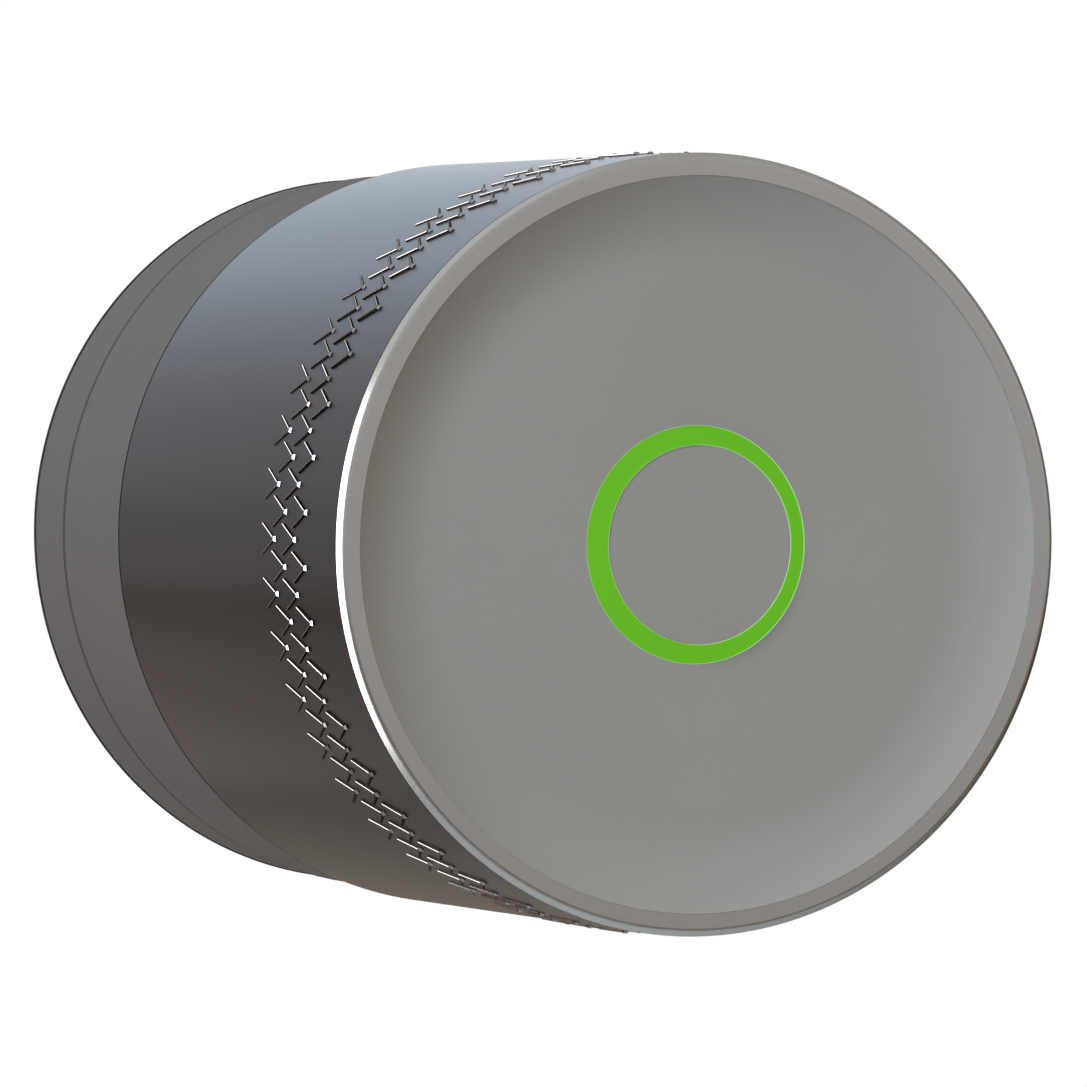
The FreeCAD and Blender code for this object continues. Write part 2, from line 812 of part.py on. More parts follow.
def outer_sleeve():
    tube = Part.makeCone(sleeve_radius, sleeve_front_radius, overall_depth - sleeve_rear,
                         Vector(0, 0, sleeve_rear))
    tube = tube.makeFillet(sleeve_front_round, circle_edges(tube, sleeve_front_radius, overall_depth))
    tube = tube.makeChamfer(edge_break, circle_edges(tube, sleeve_radius, sleeve_rear))
    tube = tube.cut(cylinder(sleeve_bore, sleeve_rear - cut_margin, overall_depth + cut_margin))
    lug = block(sleeve_screw_circle - chassis_boss_radius, sleeve_bore + sleeve_wall / 2,
                -lug_width / 2, lug_width / 2, chassis_front, lug_front)
    lug = lug.cut(clear_hole((sleeve_screw_circle, 0.0), small_screw,
                             chassis_front - cut_margin, lug_front + cut_margin))
    return tube.multiFuse(around(lug, sleeve_screw_angles()) + ribs())


def sleeve_screws():
    piece = screw((sleeve_screw_circle, 0.0), lug_front, small_screw, lug_thickness + screw_bite, -1)
    return Part.makeCompound(around(piece, sleeve_screw_angles()))


def magnets(rear):
    piece = cylinder(magnet_radius, rear, rear + magnet_thickness, (magnet_circle, 0.0))
    return Part.makeCompound(around(piece, magnet_angles()))


def chassis_magnets():
    return magnets(chassis_front - magnet_thickness)


def cover_magnets():
    return magnets(chassis_front + face_gap)


def on_main_board(outline, low, high):
    # A block on the outer face of the main board, from an outline in shares of the board.
    left, right, start, end = outline
    face = main_board_inner + main_board_thickness
    return block(face + low, face + high, left * main_board_half_width, right * main_board_half_width,
                 main_board_rear + start * main_board_length, main_board_rear + end * main_board_length)


def main_board():
    return block(main_board_inner, main_board_inner + main_board_thickness,
                 -main_board_half_width, main_board_half_width, main_board_rear, main_board_front)


def board_chips():
    chips = [on_main_board(outline, 0, height) for *outline, height in chip_outlines]
    sideways, along = buzzer_place
    start = Vector(main_board_inner + main_board_thickness, sideways * main_board_half_width,
                   main_board_rear + along * main_board_length)
    buzzer = Part.makeCylinder(buzzer_radius, buzzer_height, start, Vector(1, 0, 0))
    return Part.makeCompound(chips + [buzzer])


def radio_module():
    carrier = on_main_board(radio_carrier[:4], 0, radio_carrier[4])
    can = on_main_board(radio_can[:4], radio_carrier[4], radio_can[4])
    return joined(carrier, [can])


def pin_places():
    first = -pin_spacing * (pin_count - 1) / 2
    return [(main_board_inner - pin_block_depth / 2, first + pin_spacing * pin) for pin in range(pin_count)]


def pin_block():
    half = pin_spacing * pin_count / 2
    rear = main_board_front - pin_block_height
    body = block(main_board_inner - pin_block_depth, main_board_inner, -half, half, rear, main_board_front)
    return body.cut([cylinder(pin_radius, rear - cut_margin, main_board_front + cut_margin, place)
                     for place in pin_places()])


def contact_pins():
    rear = main_board_front - pin_block_height
    return Part.makeCompound([cylinder(pin_radius, rear, front_board_rear - face_gap, place)
                              for place in pin_places()])


def dish_profile():
    # Half section of the front cover. The dish is an arc that runs flat into the middle.
    edge_height = overall_depth - fit
    reach = cover_radius - dish_flat_radius
    drop = edge_height - dish_floor
    arc_radius = (reach ** 2 + drop ** 2) / (2 * drop)
    half_sweep = math.asin(reach / arc_radius) / 2
    arc_middle = Vector(dish_flat_radius + arc_radius * math.sin(half_sweep), 0,
                        dish_floor + arc_radius * (1 - math.cos(half_sweep)))
    inner = Vector(0, 0, dish_floor)
    flat_end = Vector(dish_flat_radius, 0, dish_floor)
    outer = Vector(cover_radius, 0, edge_height)
    corners = [inner, Vector(0, 0, cover_underside), Vector(cover_skirt_inner, 0, cover_underside),
               Vector(cover_skirt_inner, 0, skirt_rear), Vector(cover_radius, 0, skirt_rear), outer]
    edges = [Part.LineSegment(a, b).toShape() for a, b in zip(corners, corners[1:])]
    edges.append(Part.Arc(outer, arc_middle, flat_end).toShape())
    edges.append(Part.LineSegment(flat_end, inner).toShape())
    return Part.Face(Part.Wire(edges))


def board_post_angles():
    return thirds(board_post_start)


def front_cover():
    body = dish_profile().revolve(Vector(0, 0, 0), Vector(0, 0, 1), 360)
    boss_rear = chassis_front + face_gap
    boss = cylinder(magnet_radius + magnet_wall, boss_rear, cover_underside, (magnet_circle, 0.0))
    post_place = (board_post_circle, 0.0)
    post = cylinder(board_post_radius, front_board_front, cover_underside, post_place)
    pocket_front = boss_rear + magnet_thickness
    pocket = cylinder(magnet_radius, boss_rear - cut_margin, pocket_front, (magnet_circle, 0.0))
    thread = screw_hole(post_place, small_screw, front_board_front - cut_margin, cover_underside)
    cuts = around(pocket, magnet_angles()) + around(thread, board_post_angles())
    cuts.append(cylinder(light_outer_radius, cover_underside - cut_margin, overall_depth))
    return joined(body, around(boss, magnet_angles()) + around(post, board_post_angles())).cut(cuts)


def light_guide():
    # The lit face rises from the dish to the button as a shallow cone.
    step = button_flange_front + play
    foot = front_board_front + light_height + running_fit
    return lathe([
        (light_inner_radius, button_top), (light_outer_radius, dish_floor),
        (light_outer_radius, cover_underside), (light_flange_radius, cover_underside),
        (light_flange_radius, foot), (light_foot_inner_radius, foot),
        (light_foot_inner_radius, step), (light_inner_radius, step),
    ])


def center_button():
    flange_rear = button_flange_front - button_flange_thickness
    inner = button_radius - button_skin
    cap = cylinder(button_radius, flange_rear, button_top)
    cap = cap.makeFillet(button_round, circle_edges(cap, button_radius, button_top))
    cap = cap.cut(cylinder(inner, flange_rear - cut_margin, button_top - button_skin))
    flange = ring(light_foot_inner_radius - running_fit, inner, flange_rear, button_flange_front)
    stem = cylinder(button_stem_radius, plunger_front + running_fit, button_top - button_skin / 2)
    return joined(cap, [flange, stem])


def button_switch():
    half = switch_size / 2
    front = front_board_front + switch_height
    body = block(-half, half, -half, half, front_board_front, front)
    floor = front_board_front + switch_floor
    return body.cut(cylinder(plunger_radius + running_fit, floor, front + cut_margin))


def switch_plunger():
    return cylinder(plunger_radius, plunger_rear, plunger_front)


def front_board():
    through = (front_board_rear - cut_margin, front_board_front + cut_margin)
    notch = cylinder(magnet_radius + magnet_wall + face_gap, *through, (magnet_circle, 0.0))
    hole = clear_hole((board_post_circle, 0.0), small_screw, *through)
    board = cylinder(front_board_radius, front_board_rear, front_board_front)
    return board.cut(around(notch, magnet_angles()) + around(hole, board_post_angles()))


def front_board_screws():
    piece = screw((board_post_circle, 0.0), front_board_rear, small_screw,
                  front_board_thickness + screw_bite - play, 1)
    return Part.makeCompound(around(piece, board_post_angles()))


def indicator_lights():
    circle = (light_foot_inner_radius + light_flange_radius) / 2
    half = light_size / 2
    front = front_board_front + light_height
    piece = block(circle - half, circle + half, -half, half, front_board_front, front)
    angles = [360.0 * light / light_count for light in range(light_count)]
    return Part.makeCompound(around(piece, angles))


pieces = [
    mounting_plate, base_housing, set_screws, felt_washer, glide_ring, ring_gear, ring_gear_screws,
    journal_plate, journal_screws, drive_hub, hub_screws,
    output_gear, output_pinion, idler_gear, idler_pin, motor_pinion, motor_shaft,
    motor_plate, motor_plate_screws, gear_motor, motor_screws,
    battery_cage, cage_screw, battery_cells, rear_contacts, front_contacts,
    chassis, chassis_magnets, outer_sleeve, sleeve_screws,
    main_board, board_chips, radio_module, pin_block, contact_pins,
    front_cover, cover_magnets, light_guide, center_button, button_switch, switch_plunger,
    front_board, front_board_screws, indicator_lights,
]

os.makedirs("parts", exist_ok=True)
for piece in pieces:
    shape = piece()
    shape.rotate(Vector(0, 0, 0), Vector(1, 0, 0), 90)
    shape.exportStep("parts/" + piece.__name__ + ".step")
    print(piece.__name__, len(shape.Solids), round(shape.Volume, 2), shape.isValid())
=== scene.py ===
import json
import math

import bmesh
import bpy
from mathutils import Matrix, Vector


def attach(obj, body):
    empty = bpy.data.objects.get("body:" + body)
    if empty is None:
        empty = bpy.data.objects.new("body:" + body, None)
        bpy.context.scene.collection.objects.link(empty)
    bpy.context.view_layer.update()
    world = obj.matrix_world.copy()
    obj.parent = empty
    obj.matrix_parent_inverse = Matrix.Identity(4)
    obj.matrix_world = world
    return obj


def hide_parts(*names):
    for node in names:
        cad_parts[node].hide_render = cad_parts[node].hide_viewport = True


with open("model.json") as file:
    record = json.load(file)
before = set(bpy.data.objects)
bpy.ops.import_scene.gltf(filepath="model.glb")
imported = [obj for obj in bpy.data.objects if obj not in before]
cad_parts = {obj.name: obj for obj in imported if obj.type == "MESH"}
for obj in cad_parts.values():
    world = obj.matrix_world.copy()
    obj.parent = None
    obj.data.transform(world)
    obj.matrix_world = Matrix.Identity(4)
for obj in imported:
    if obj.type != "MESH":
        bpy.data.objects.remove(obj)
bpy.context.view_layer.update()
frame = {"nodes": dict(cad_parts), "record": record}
print("frame loaded:", len(frame["nodes"]), "nodes")

# Heights are distances from the door face and radii are from the knob's axis, both in millimetres.
mm = 0.001
turnSteps = 288            # facets round a large turned piece
tubeSteps = 40             # facets round a small boss or post
onAxis = 1e-6              # a ring with a smaller radius is one point on the axis


def srgb(red, green, blue):
    def toLinear(value):
        value /= 255
        return value / 12.92 if value <= 0.04045 else ((value + 0.055) / 1.055) ** 2.4
    return toLinear(red), toLinear(green), toLinear(blue), 1.0


# Node trees. Heights of relief are in metres, and details are octaves of noise.

reliefHeight = {"grain": 0.0001, "rings": 0.00002, "tracks": 0.00003}
noiseDetail = {"mottle": 4.0, "grain": 2.0, "rings": 2.0}


def newNode(tree, kind, x, y, **settings):
    node = tree.nodes.new(kind)
    node.location = (x, y)
    for key, value in settings.items():
        setattr(node, key, value)
    return node


def startMaterial(name, look):
    # a Principled shader with the values that are the same all over the piece
    material = bpy.data.materials.new(name)
    material.use_nodes = True
    tree = material.node_tree
    shader = tree.nodes["Principled BSDF"]
    shader.inputs["Metallic"].default_value = look.get("metallic", 0.0)
    shader.inputs["Specular IOR Level"].default_value = look.get("specular", 0.5)
    if "edgeTint" in look:
        shader.inputs["Specular Tint"].default_value = look["edgeTint"]
    if "coat" in look:
        shader.inputs["Coat Weight"].default_value = look["coat"]
        shader.inputs["Coat Roughness"].default_value = look["coatRoughness"]
    if "glow" in look:
        shader.inputs["Emission Color"].default_value = look["glow"]
        shader.inputs["Emission Strength"].default_value = look["glowStrength"]
    return material, tree, shader


def objectPoint(tree):
    return newNode(tree, "ShaderNodeTexCoord", -1500, 0).outputs["Object"]


def noise(tree, vector, scale, detail, y=0):
    node = newNode(tree, "ShaderNodeTexNoise", -900, y)
    node.inputs["Scale"].default_value = scale
    node.inputs["Detail"].default_value = detail
    tree.links.new(vector, node.inputs["Vector"])
    return node.outputs["Fac"]


def span(tree, value, low, high):
    # noise mostly stays within the middle half of its range, which is spread from low to high
    node = newNode(tree, "ShaderNodeMapRange", -650, -50)
    node.inputs["From Min"].default_value = 0.25
    node.inputs["From Max"].default_value = 0.75
    node.inputs["To Min"].default_value = low
    node.inputs["To Max"].default_value = high
    tree.links.new(value, node.inputs["Value"])
    return node.outputs["Result"]


def blendColours(tree, value, first, second, y=0):
    node = newNode(tree, "ShaderNodeMix", -400, y, data_type="RGBA")
    node.inputs["A"].default_value = first
    node.inputs["B"].default_value = second
    tree.links.new(value, node.inputs["Factor"])
    return node.outputs["Result"]


def relief(tree, shader, value, depth, height):
    node = newNode(tree, "ShaderNodeBump", -250, -500)
    node.inputs["Strength"].default_value = depth
    node.inputs["Distance"].default_value = height
    tree.links.new(value, node.inputs["Height"])
    tree.links.new(node.outputs["Normal"], shader.inputs["Normal"])


def turningPoint(tree):
    # (radius, height, 0), so that a pattern runs round the knob's axis as turning marks do
    parts = newNode(tree, "ShaderNodeSeparateXYZ", -1350, -200)
    tree.links.new(objectPoint(tree), parts.inputs["Vector"])
    squares = []
    for axis, y in (("X", -150), ("Z", -300)):
        square = newNode(tree, "ShaderNodeMath", -1200, y, operation="MULTIPLY")
        tree.links.new(parts.outputs[axis], square.inputs[0])
        tree.links.new(parts.outputs[axis], square.inputs[1])
        squares.append(square)
    total = newNode(tree, "ShaderNodeMath", -1080, -200, operation="ADD")
    tree.links.new(squares[0].outputs[0], total.inputs[0])
    tree.links.new(squares[1].outputs[0], total.inputs[1])
    root = newNode(tree, "ShaderNodeMath", -1000, -200, operation="SQRT")
    tree.links.new(total.outputs[0], root.inputs[0])
    point = newNode(tree, "ShaderNodeCombineXYZ", -950, -350)
    tree.links.new(root.outputs[0], point.inputs["X"])
    tree.links.new(parts.outputs["Y"], point.inputs["Y"])
    return point.outputs["Vector"]


def grainFinish(name, look):
    # a moulded, painted or plated surface: mottled colour, uneven gloss and a fine skin
    material, tree, shader = startMaterial(name, look)
    point = objectPoint(tree)
    mottle = noise(tree, point, look["mottle"], noiseDetail["mottle"], 200)
    grain = noise(tree, point, look["grain"], noiseDetail["grain"], -200)
    paint = blendColours(tree, mottle, look["colour"], look["shade"], 200)
    tree.links.new(paint, shader.inputs["Base Color"])
    tree.links.new(span(tree, mottle, *look["roughness"]), shader.inputs["Roughness"])
    relief(tree, shader, grain, look["relief"], reliefHeight["grain"])
    return material


def turnedFinish(name, look):
    # fine rings left by the lathe over a slightly mottled colour
    material, tree, shader = startMaterial(name, look)
    mottle = noise(tree, objectPoint(tree), look["mottle"], noiseDetail["mottle"], 200)
    rings = noise(tree, turningPoint(tree), look["rings"], noiseDetail["rings"], -200)
    paint = blendColours(tree, mottle, look["colour"], look["shade"], 200)
    tree.links.new(paint, shader.inputs["Base Color"])
    tree.links.new(span(tree, rings, *look["roughness"]), shader.inputs["Roughness"])
    relief(tree, shader, rings, look["relief"], reliefHeight["rings"])
    return material


def boardFinish(name, look):
    # solder resist over copper: straight tracks show through as a slightly lighter green
    material, tree, shader = startMaterial(name, look)
    point = objectPoint(tree)
    tracks = newNode(tree, "ShaderNodeTexBrick", -900, 200)
    tracks.inputs["Scale"].default_value = look["tracks"]
    tracks.inputs["Mortar Size"].default_value = look["trackWidth"]
    tracks.inputs["Color1"].default_value = look["colour"]
    tracks.inputs["Color2"].default_value = look["shade"]
    tracks.inputs["Mortar"].default_value = look["track"]
    turn = newNode(tree, "ShaderNodeMapping", -1150, 200)
    turn.inputs["Rotation"].default_value = look["turn"]
    tree.links.new(point, turn.inputs["Vector"])
    tree.links.new(turn.outputs["Vector"], tracks.inputs["Vector"])
    tree.links.new(tracks.outputs["Color"], shader.inputs["Base Color"])
    grain = noise(tree, point, look["grain"], noiseDetail["grain"], -200)
    tree.links.new(span(tree, grain, *look["roughness"]), shader.inputs["Roughness"])
    relief(tree, shader, tracks.outputs["Fac"], look["relief"], reliefHeight["tracks"])
    return material


def rubber(colour, shade):
    return grainFinish, {
        "colour": colour, "shade": shade, "mottle": 300, "grain": 5000,
        "roughness": (0.7, 0.8), "relief": 0.1, "specular": 0.0,
    }


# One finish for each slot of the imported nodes, and more for trim that only this script makes.
# A specular of 0 keeps the white background out of matt greys that are seen at a glancing angle.
finishes = {
    "base_grey": (grainFinish, {
        "colour": srgb(87, 82, 79), "shade": srgb(83, 78, 75), "mottle": 60, "grain": 5000,
        "roughness": (0.60, 0.70), "relief": 0.05, "specular": 0.0,
    }),
    "sleeve_metal": (turnedFinish, {
        "colour": srgb(50, 48, 48), "shade": srgb(47, 45, 45), "mottle": 40, "rings": 3000,
        "roughness": (0.276, 0.284), "relief": 0.0015, "metallic": 1.0,
        "edgeTint": (0.70, 0.68, 0.68, 1.0),
    }),
    # a darker copy of the ridge's metal for the chevrons' feet: painted shade on the flanks of the legs
    "chevronShadedFoot": (grainFinish, {
        "colour": srgb(74, 67, 64), "shade": srgb(69, 62, 60), "mottle": 60, "grain": 6000,
        "roughness": (0.30, 0.38), "relief": 0.02, "metallic": 1.0,
        "edgeTint": (0.24, 0.21, 0.20, 1.0),
    }),
    "chevronMetal": (grainFinish, {
        "colour": srgb(126, 123, 122), "shade": srgb(120, 117, 116), "mottle": 60, "grain": 6000,
        "roughness": (0.07, 0.11), "relief": 0.005, "metallic": 1.0,
        "edgeTint": (0.26, 0.24, 0.23, 1.0),
    }),
    "rimMetal": (grainFinish, {
        "colour": srgb(153, 151, 148), "shade": srgb(149, 147, 144), "mottle": 60, "grain": 6000,
        "roughness": (0.24, 0.28), "relief": 0.01, "metallic": 1.0,
        "edgeTint": (0.12, 0.10, 0.09, 1.0),
    }),
    # dark rubber pad at the plate's rear edge, its darkness painted shadow along that edge
    "doorShadowRubber": rubber(srgb(52, 49, 48), srgb(46, 43, 42)),
    # near-black ring at the sleeve's rear edge: painted shadow of the gap in front of the housing
    "gapShadowRubber": rubber(srgb(27, 27, 28), srgb(22, 22, 23)),
    # dark ring in the joint between plate and housing: painted shade in the crease
    "creaseShadeRubber": rubber(srgb(66, 63, 61), srgb(61, 58, 56)),
    # the lips glow paler than the lit face: partly the light guide's own glow, partly painted highlight
    # along the ring's edges
    "ringEdgeGlowAndHighlight": (grainFinish, {
        "colour": srgb(120, 150, 104), "shade": srgb(112, 142, 96), "mottle": 200, "grain": 5000,
        "roughness": (0.3, 0.4), "relief": 0.02, "glow": srgb(168, 210, 138), "glowStrength": 0.6,
    }),
    "front_grey": (grainFinish, {
        "colour": srgb(141, 137, 133), "shade": srgb(135, 131, 127), "mottle": 50, "grain": 6000,
        "roughness": (0.40, 0.48), "relief": 0.03, "specular": 0.35,
    }),
    "button_grey": (grainFinish, {
        "colour": srgb(140, 136, 132), "shade": srgb(134, 130, 126), "mottle": 70, "grain": 6000,
        "roughness": (0.40, 0.48), "relief": 0.03, "specular": 0.35,
    }),
    "light_green": (grainFinish, {
        "colour": srgb(14, 30, 6), "shade": srgb(11, 26, 5), "mottle": 120, "grain": 4000,
        "roughness": (0.5, 0.6), "relief": 0.02, "specular": 0.03, "glow": srgb(97, 176, 34),
        "glowStrength": 1.0,
    }),
    "black_plastic": (grainFinish, {
        "colour": srgb(38, 38, 40), "shade": srgb(30, 30, 32), "mottle": 90, "grain": 3500,
        "roughness": (0.5, 0.62), "relief": 0.12,
    }),
    "white_plastic": (grainFinish, {
        "colour": srgb(228, 227, 222), "shade": srgb(218, 216, 210), "mottle": 200, "grain": 4000,
        "roughness": (0.4, 0.5), "relief": 0.05,
    }),
    "felt": (grainFinish, {
        "colour": srgb(46, 45, 45), "shade": srgb(24, 24, 24), "mottle": 2500, "grain": 7000,
        "roughness": (0.92, 1.0), "relief": 0.7, "specular": 0.1,
    }),
    "bearing_plastic": (grainFinish, {
        "colour": srgb(224, 221, 207), "shade": srgb(214, 210, 194), "mottle": 80, "grain": 4000,
        "roughness": (0.38, 0.46), "relief": 0.04,
    }),
    "screw_steel": (grainFinish, {
        "colour": srgb(176, 177, 180), "shade": srgb(150, 150, 152), "mottle": 900, "grain": 8000,
        "roughness": (0.26, 0.42), "relief": 0.08, "metallic": 1.0,
    }),
    "black_steel": (grainFinish, {
        "colour": srgb(54, 54, 57), "shade": srgb(40, 40, 42), "mottle": 900, "grain": 8000,
        "roughness": (0.32, 0.48), "relief": 0.08, "metallic": 1.0,
    }),
    "gear_steel": (grainFinish, {
        "colour": srgb(184, 184, 184), "shade": srgb(160, 160, 162), "mottle": 500, "grain": 6000,
        "roughness": (0.28, 0.4), "relief": 0.08, "metallic": 1.0,
    }),
    "gear_plastic": (grainFinish, {
        "colour": srgb(222, 220, 204), "shade": srgb(210, 207, 190), "mottle": 90, "grain": 4000,
        "roughness": (0.4, 0.5), "relief": 0.05,
    }),
    "brass": (turnedFinish, {
        "colour": srgb(214, 178, 106), "shade": srgb(190, 152, 84), "mottle": 200, "rings": 2500,
        "roughness": (0.24, 0.38), "relief": 0.1, "metallic": 1.0,
    }),
    "plate_aluminium": (turnedFinish, {
        "colour": srgb(200, 202, 205), "shade": srgb(184, 186, 189), "mottle": 120, "rings": 2600,
        "roughness": (0.3, 0.44), "relief": 0.12, "metallic": 1.0,
    }),
    "chassis_grey": (grainFinish, {
        "colour": srgb(66, 66, 68), "shade": srgb(56, 56, 58), "mottle": 70, "grain": 3000,
        "roughness": (0.5, 0.64), "relief": 0.14,
    }),
    "motor_metal": (grainFinish, {
        "colour": srgb(186, 187, 189), "shade": srgb(166, 167, 170), "mottle": 300, "grain": 5000,
        "roughness": (0.28, 0.38), "relief": 0.06, "metallic": 1.0,
    }),
    "cell_wrap": (grainFinish, {
        "colour": srgb(44, 60, 104), "shade": srgb(36, 50, 92), "mottle": 140, "grain": 2500,
        "roughness": (0.24, 0.34), "relief": 0.05, "coat": 0.3, "coatRoughness": 0.2,
    }),
    "spring_nickel": (grainFinish, {
        "colour": srgb(214, 212, 204), "shade": srgb(190, 188, 180), "mottle": 700, "grain": 6000,
        "roughness": (0.16, 0.3), "relief": 0.05, "metallic": 1.0,
    }),
    "magnet_nickel": (grainFinish, {
        "colour": srgb(204, 204, 206), "shade": srgb(184, 184, 188), "mottle": 700, "grain": 6000,
        "roughness": (0.14, 0.24), "relief": 0.04, "metallic": 1.0,
    }),
    "circuit_board": (boardFinish, {
        "colour": srgb(22, 74, 46), "shade": srgb(26, 82, 52), "track": srgb(48, 112, 72),
        "tracks": 420, "trackWidth": 0.03, "turn": (math.radians(90), 0, 0), "grain": 3000,
        "roughness": (0.28, 0.4), "relief": 0.3,
    }),
    "chip_black": (grainFinish, {
        "colour": srgb(34, 34, 36), "shade": srgb(26, 26, 28), "mottle": 500, "grain": 9000,
        "roughness": (0.5, 0.62), "relief": 0.15,
    }),
    "shield_steel": (grainFinish, {
        "colour": srgb(200, 200, 198), "shade": srgb(178, 178, 178), "mottle": 260, "grain": 5000,
        "roughness": (0.26, 0.4), "relief": 0.1, "metallic": 1.0,
    }),
    "gold": (grainFinish, {
        "colour": srgb(222, 184, 104), "shade": srgb(202, 160, 84), "mottle": 900, "grain": 7000,
        "roughness": (0.16, 0.28), "relief": 0.04, "metallic": 1.0,
    }),
    "light_lens": (grainFinish, {
        "colour": srgb(236, 236, 214), "shade": srgb(224, 222, 190), "mottle": 900, "grain": 7000,
        "roughness": (0.2, 0.3), "relief": 0.04,
    }),
}
materials = {name: make(name, look) for name, (make, look) in finishes.items()}
print("finishes made:", len(materials))

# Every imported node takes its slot's finish, and the pieces below then replace the outer ones
slotOfNode = {entry["node"]: entry["material_slot"] for entry in frame["record"]["subparts"]}
for nodeName, node in frame["nodes"].items():
    node.data.materials.clear()
    node.data.materials.append(materials[slotOfNode[nodeName]])


# Turned pieces

def roundedOutline(corners, arcSteps=8, guard=0.06):
    # corners are (radius, height, round); each round becomes an arc between two flats of guard's length
    points = []
    count = len(corners)
    for index, (radius, height, rounding) in enumerate(corners):
        here = Vector((radius, height))
        if rounding <= 0:
            points.append(here)
            continue
        before = Vector(corners[index - 1][:2]) - here
        after = Vector(corners[(index + 1) % count][:2]) - here
        before.normalize()
        after.normalize()
        half = before.angle(after) / 2
        reach = rounding / math.tan(half)
        middle = here + (before + after).normalized() * (rounding / math.sin(half))
        first = here + before * reach
        last = here + after * reach
        points.append(first + before * guard)
        start = first - middle
        sweep = start.angle_signed(last - middle)
        for step in range(arcSteps + 1):
            turn = -sweep * step / arcSteps
            points.append(middle + Matrix.Rotation(turn, 2) @ start)
        points.append(last + after * guard)
    return points


def turnedMesh(outline):
    # spins a closed outline of (radius, height) round the knob's axis; points on the axis share a vertex
    mesh = bmesh.new()
    rings = []
    for radius, height in outline:
        if radius < onAxis:
            rings.append([mesh.verts.new((0, -height * mm, 0))] * turnSteps)
            continue
        ring = []
        for step in range(turnSteps):
            turn = 2 * math.pi * step / turnSteps
            x = radius * mm * math.cos(turn)
            z = radius * mm * math.sin(turn)
            ring.append(mesh.verts.new((x, -height * mm, z)))
        rings.append(ring)
    for index, ring in enumerate(rings):
        following = rings[(index + 1) % len(rings)]
        for step in range(turnSteps):
            ahead = (step + 1) % turnSteps
            corners = []
            for vert in (ring[step], ring[ahead], following[ahead], following[step]):
                if vert not in corners:
                    corners.append(vert)
            if len(corners) > 2:
                mesh.faces.new(corners)
    bmesh.ops.recalc_face_normals(mesh, faces=mesh.faces)
    return mesh


def addBlock(mesh, low, high, angle):
    # a block from low to high, in (outwards, sideways, height), turned round the axis
    corners = []
    turn = math.radians(angle)
    for height in (low[2], high[2]):
        for sideways in (low[1], high[1]):
            for outwards in (low[0], high[0]):
                x = outwards * math.cos(turn) - sideways * math.sin(turn)
                z = outwards * math.sin(turn) + sideways * math.cos(turn)
                corners.append(mesh.verts.new((x * mm, -height * mm, z * mm)))
    faces = []
    for loop in ((0, 1, 3, 2), (4, 6, 7, 5), (0, 4, 5, 1), (2, 3, 7, 6), (0, 2, 6, 4), (1, 5, 7, 3)):
        faces.append(mesh.faces.new([corners[index] for index in loop]))
    bmesh.ops.recalc_face_normals(mesh, faces=faces)


def plainMesh(mesh):
    # hands the edited mesh over as a plain one
    data = bpy.data.meshes.new("shape")
    mesh.to_mesh(data)
    mesh.free()
    return data


def finishPiece(name, data, slot, body, *nodes, finish=None, sharpAngle=32):
    # smooths the mesh, gives it its finish and sets it on its body in place of the nodes
    data.name = name
    data.shade_smooth()
    data.set_sharp_from_angle(angle=math.radians(sharpAngle))
    data.materials.clear()
    data.materials.append(materials[finish or slot])
    piece = bpy.data.objects.new(name, data)
    bpy.context.scene.collection.objects.link(piece)
    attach(piece, body)
    if nodes:
        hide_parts(*nodes)
    print(name, "made:", len(data.polygons), "faces")


# Outer sleeve, slightly narrower at the front, with three inner lugs that its screws go through

sleeve = {
    "rearRadius": 29.0, "frontRadius": 28.55, "bore": 27.1, "rear": 21.6, "front": 67.0, "rearRound": 0.1,
    "lugCircle": 23.9, "lugReach": 2.2, "lugWidth": 7.0, "lugRear": 58.5, "lugFront": 59.9, "lugLap": 0.5,
    "lugAngles": (60, 180, 300),
}
# The light front rim, which hides the joint between the sleeve and the cover
rim = {
    "rear": 65.4, "bore": 26.88, "bevel": 0.42, "bevelRound": 0.45, "innerRound": 0.01,
    "grooveDepth": 0.12, "grooveWidth": 0.14, "grooveLap": 0.05, "land": 0.02, "boreLap": 0.2,
}
# The dark edge at the rear, which rubs on the felt; its near-black rubber is painted shadow of the gap in
# front of the housing
lip = {"depth": 0.3, "inset": 0.03, "round": 0.04, "lap": 0.02}


def sleeveRadius(height):
    share = (height - sleeve["rear"]) / (sleeve["front"] - sleeve["rear"])
    return sleeve["rearRadius"] + (sleeve["frontRadius"] - sleeve["rearRadius"]) * share


def sleeveShell():
    seam = sleeve["front"] - rim["bevel"] - rim["grooveWidth"]
    outline = roundedOutline([
        (sleeve["rearRadius"], sleeve["rear"] + lip["depth"], sleeve["rearRound"]),
        (sleeveRadius(seam), seam, 0),
        (sleeve["bore"], seam, 0),
        (sleeve["bore"], sleeve["rear"] + lip["depth"], 0),
    ])
    mesh = turnedMesh(outline)
    half = sleeve["lugWidth"] / 2
    for angle in sleeve["lugAngles"]:
        addBlock(mesh, (sleeve["lugCircle"] - sleeve["lugReach"], -half, sleeve["lugRear"]),
                 (sleeve["bore"] + sleeve["lugLap"], half, sleeve["lugFront"]), angle)
    finishPiece("sleeveShell", plainMesh(mesh), "sleeve_metal", "knob", "outer_sleeve")


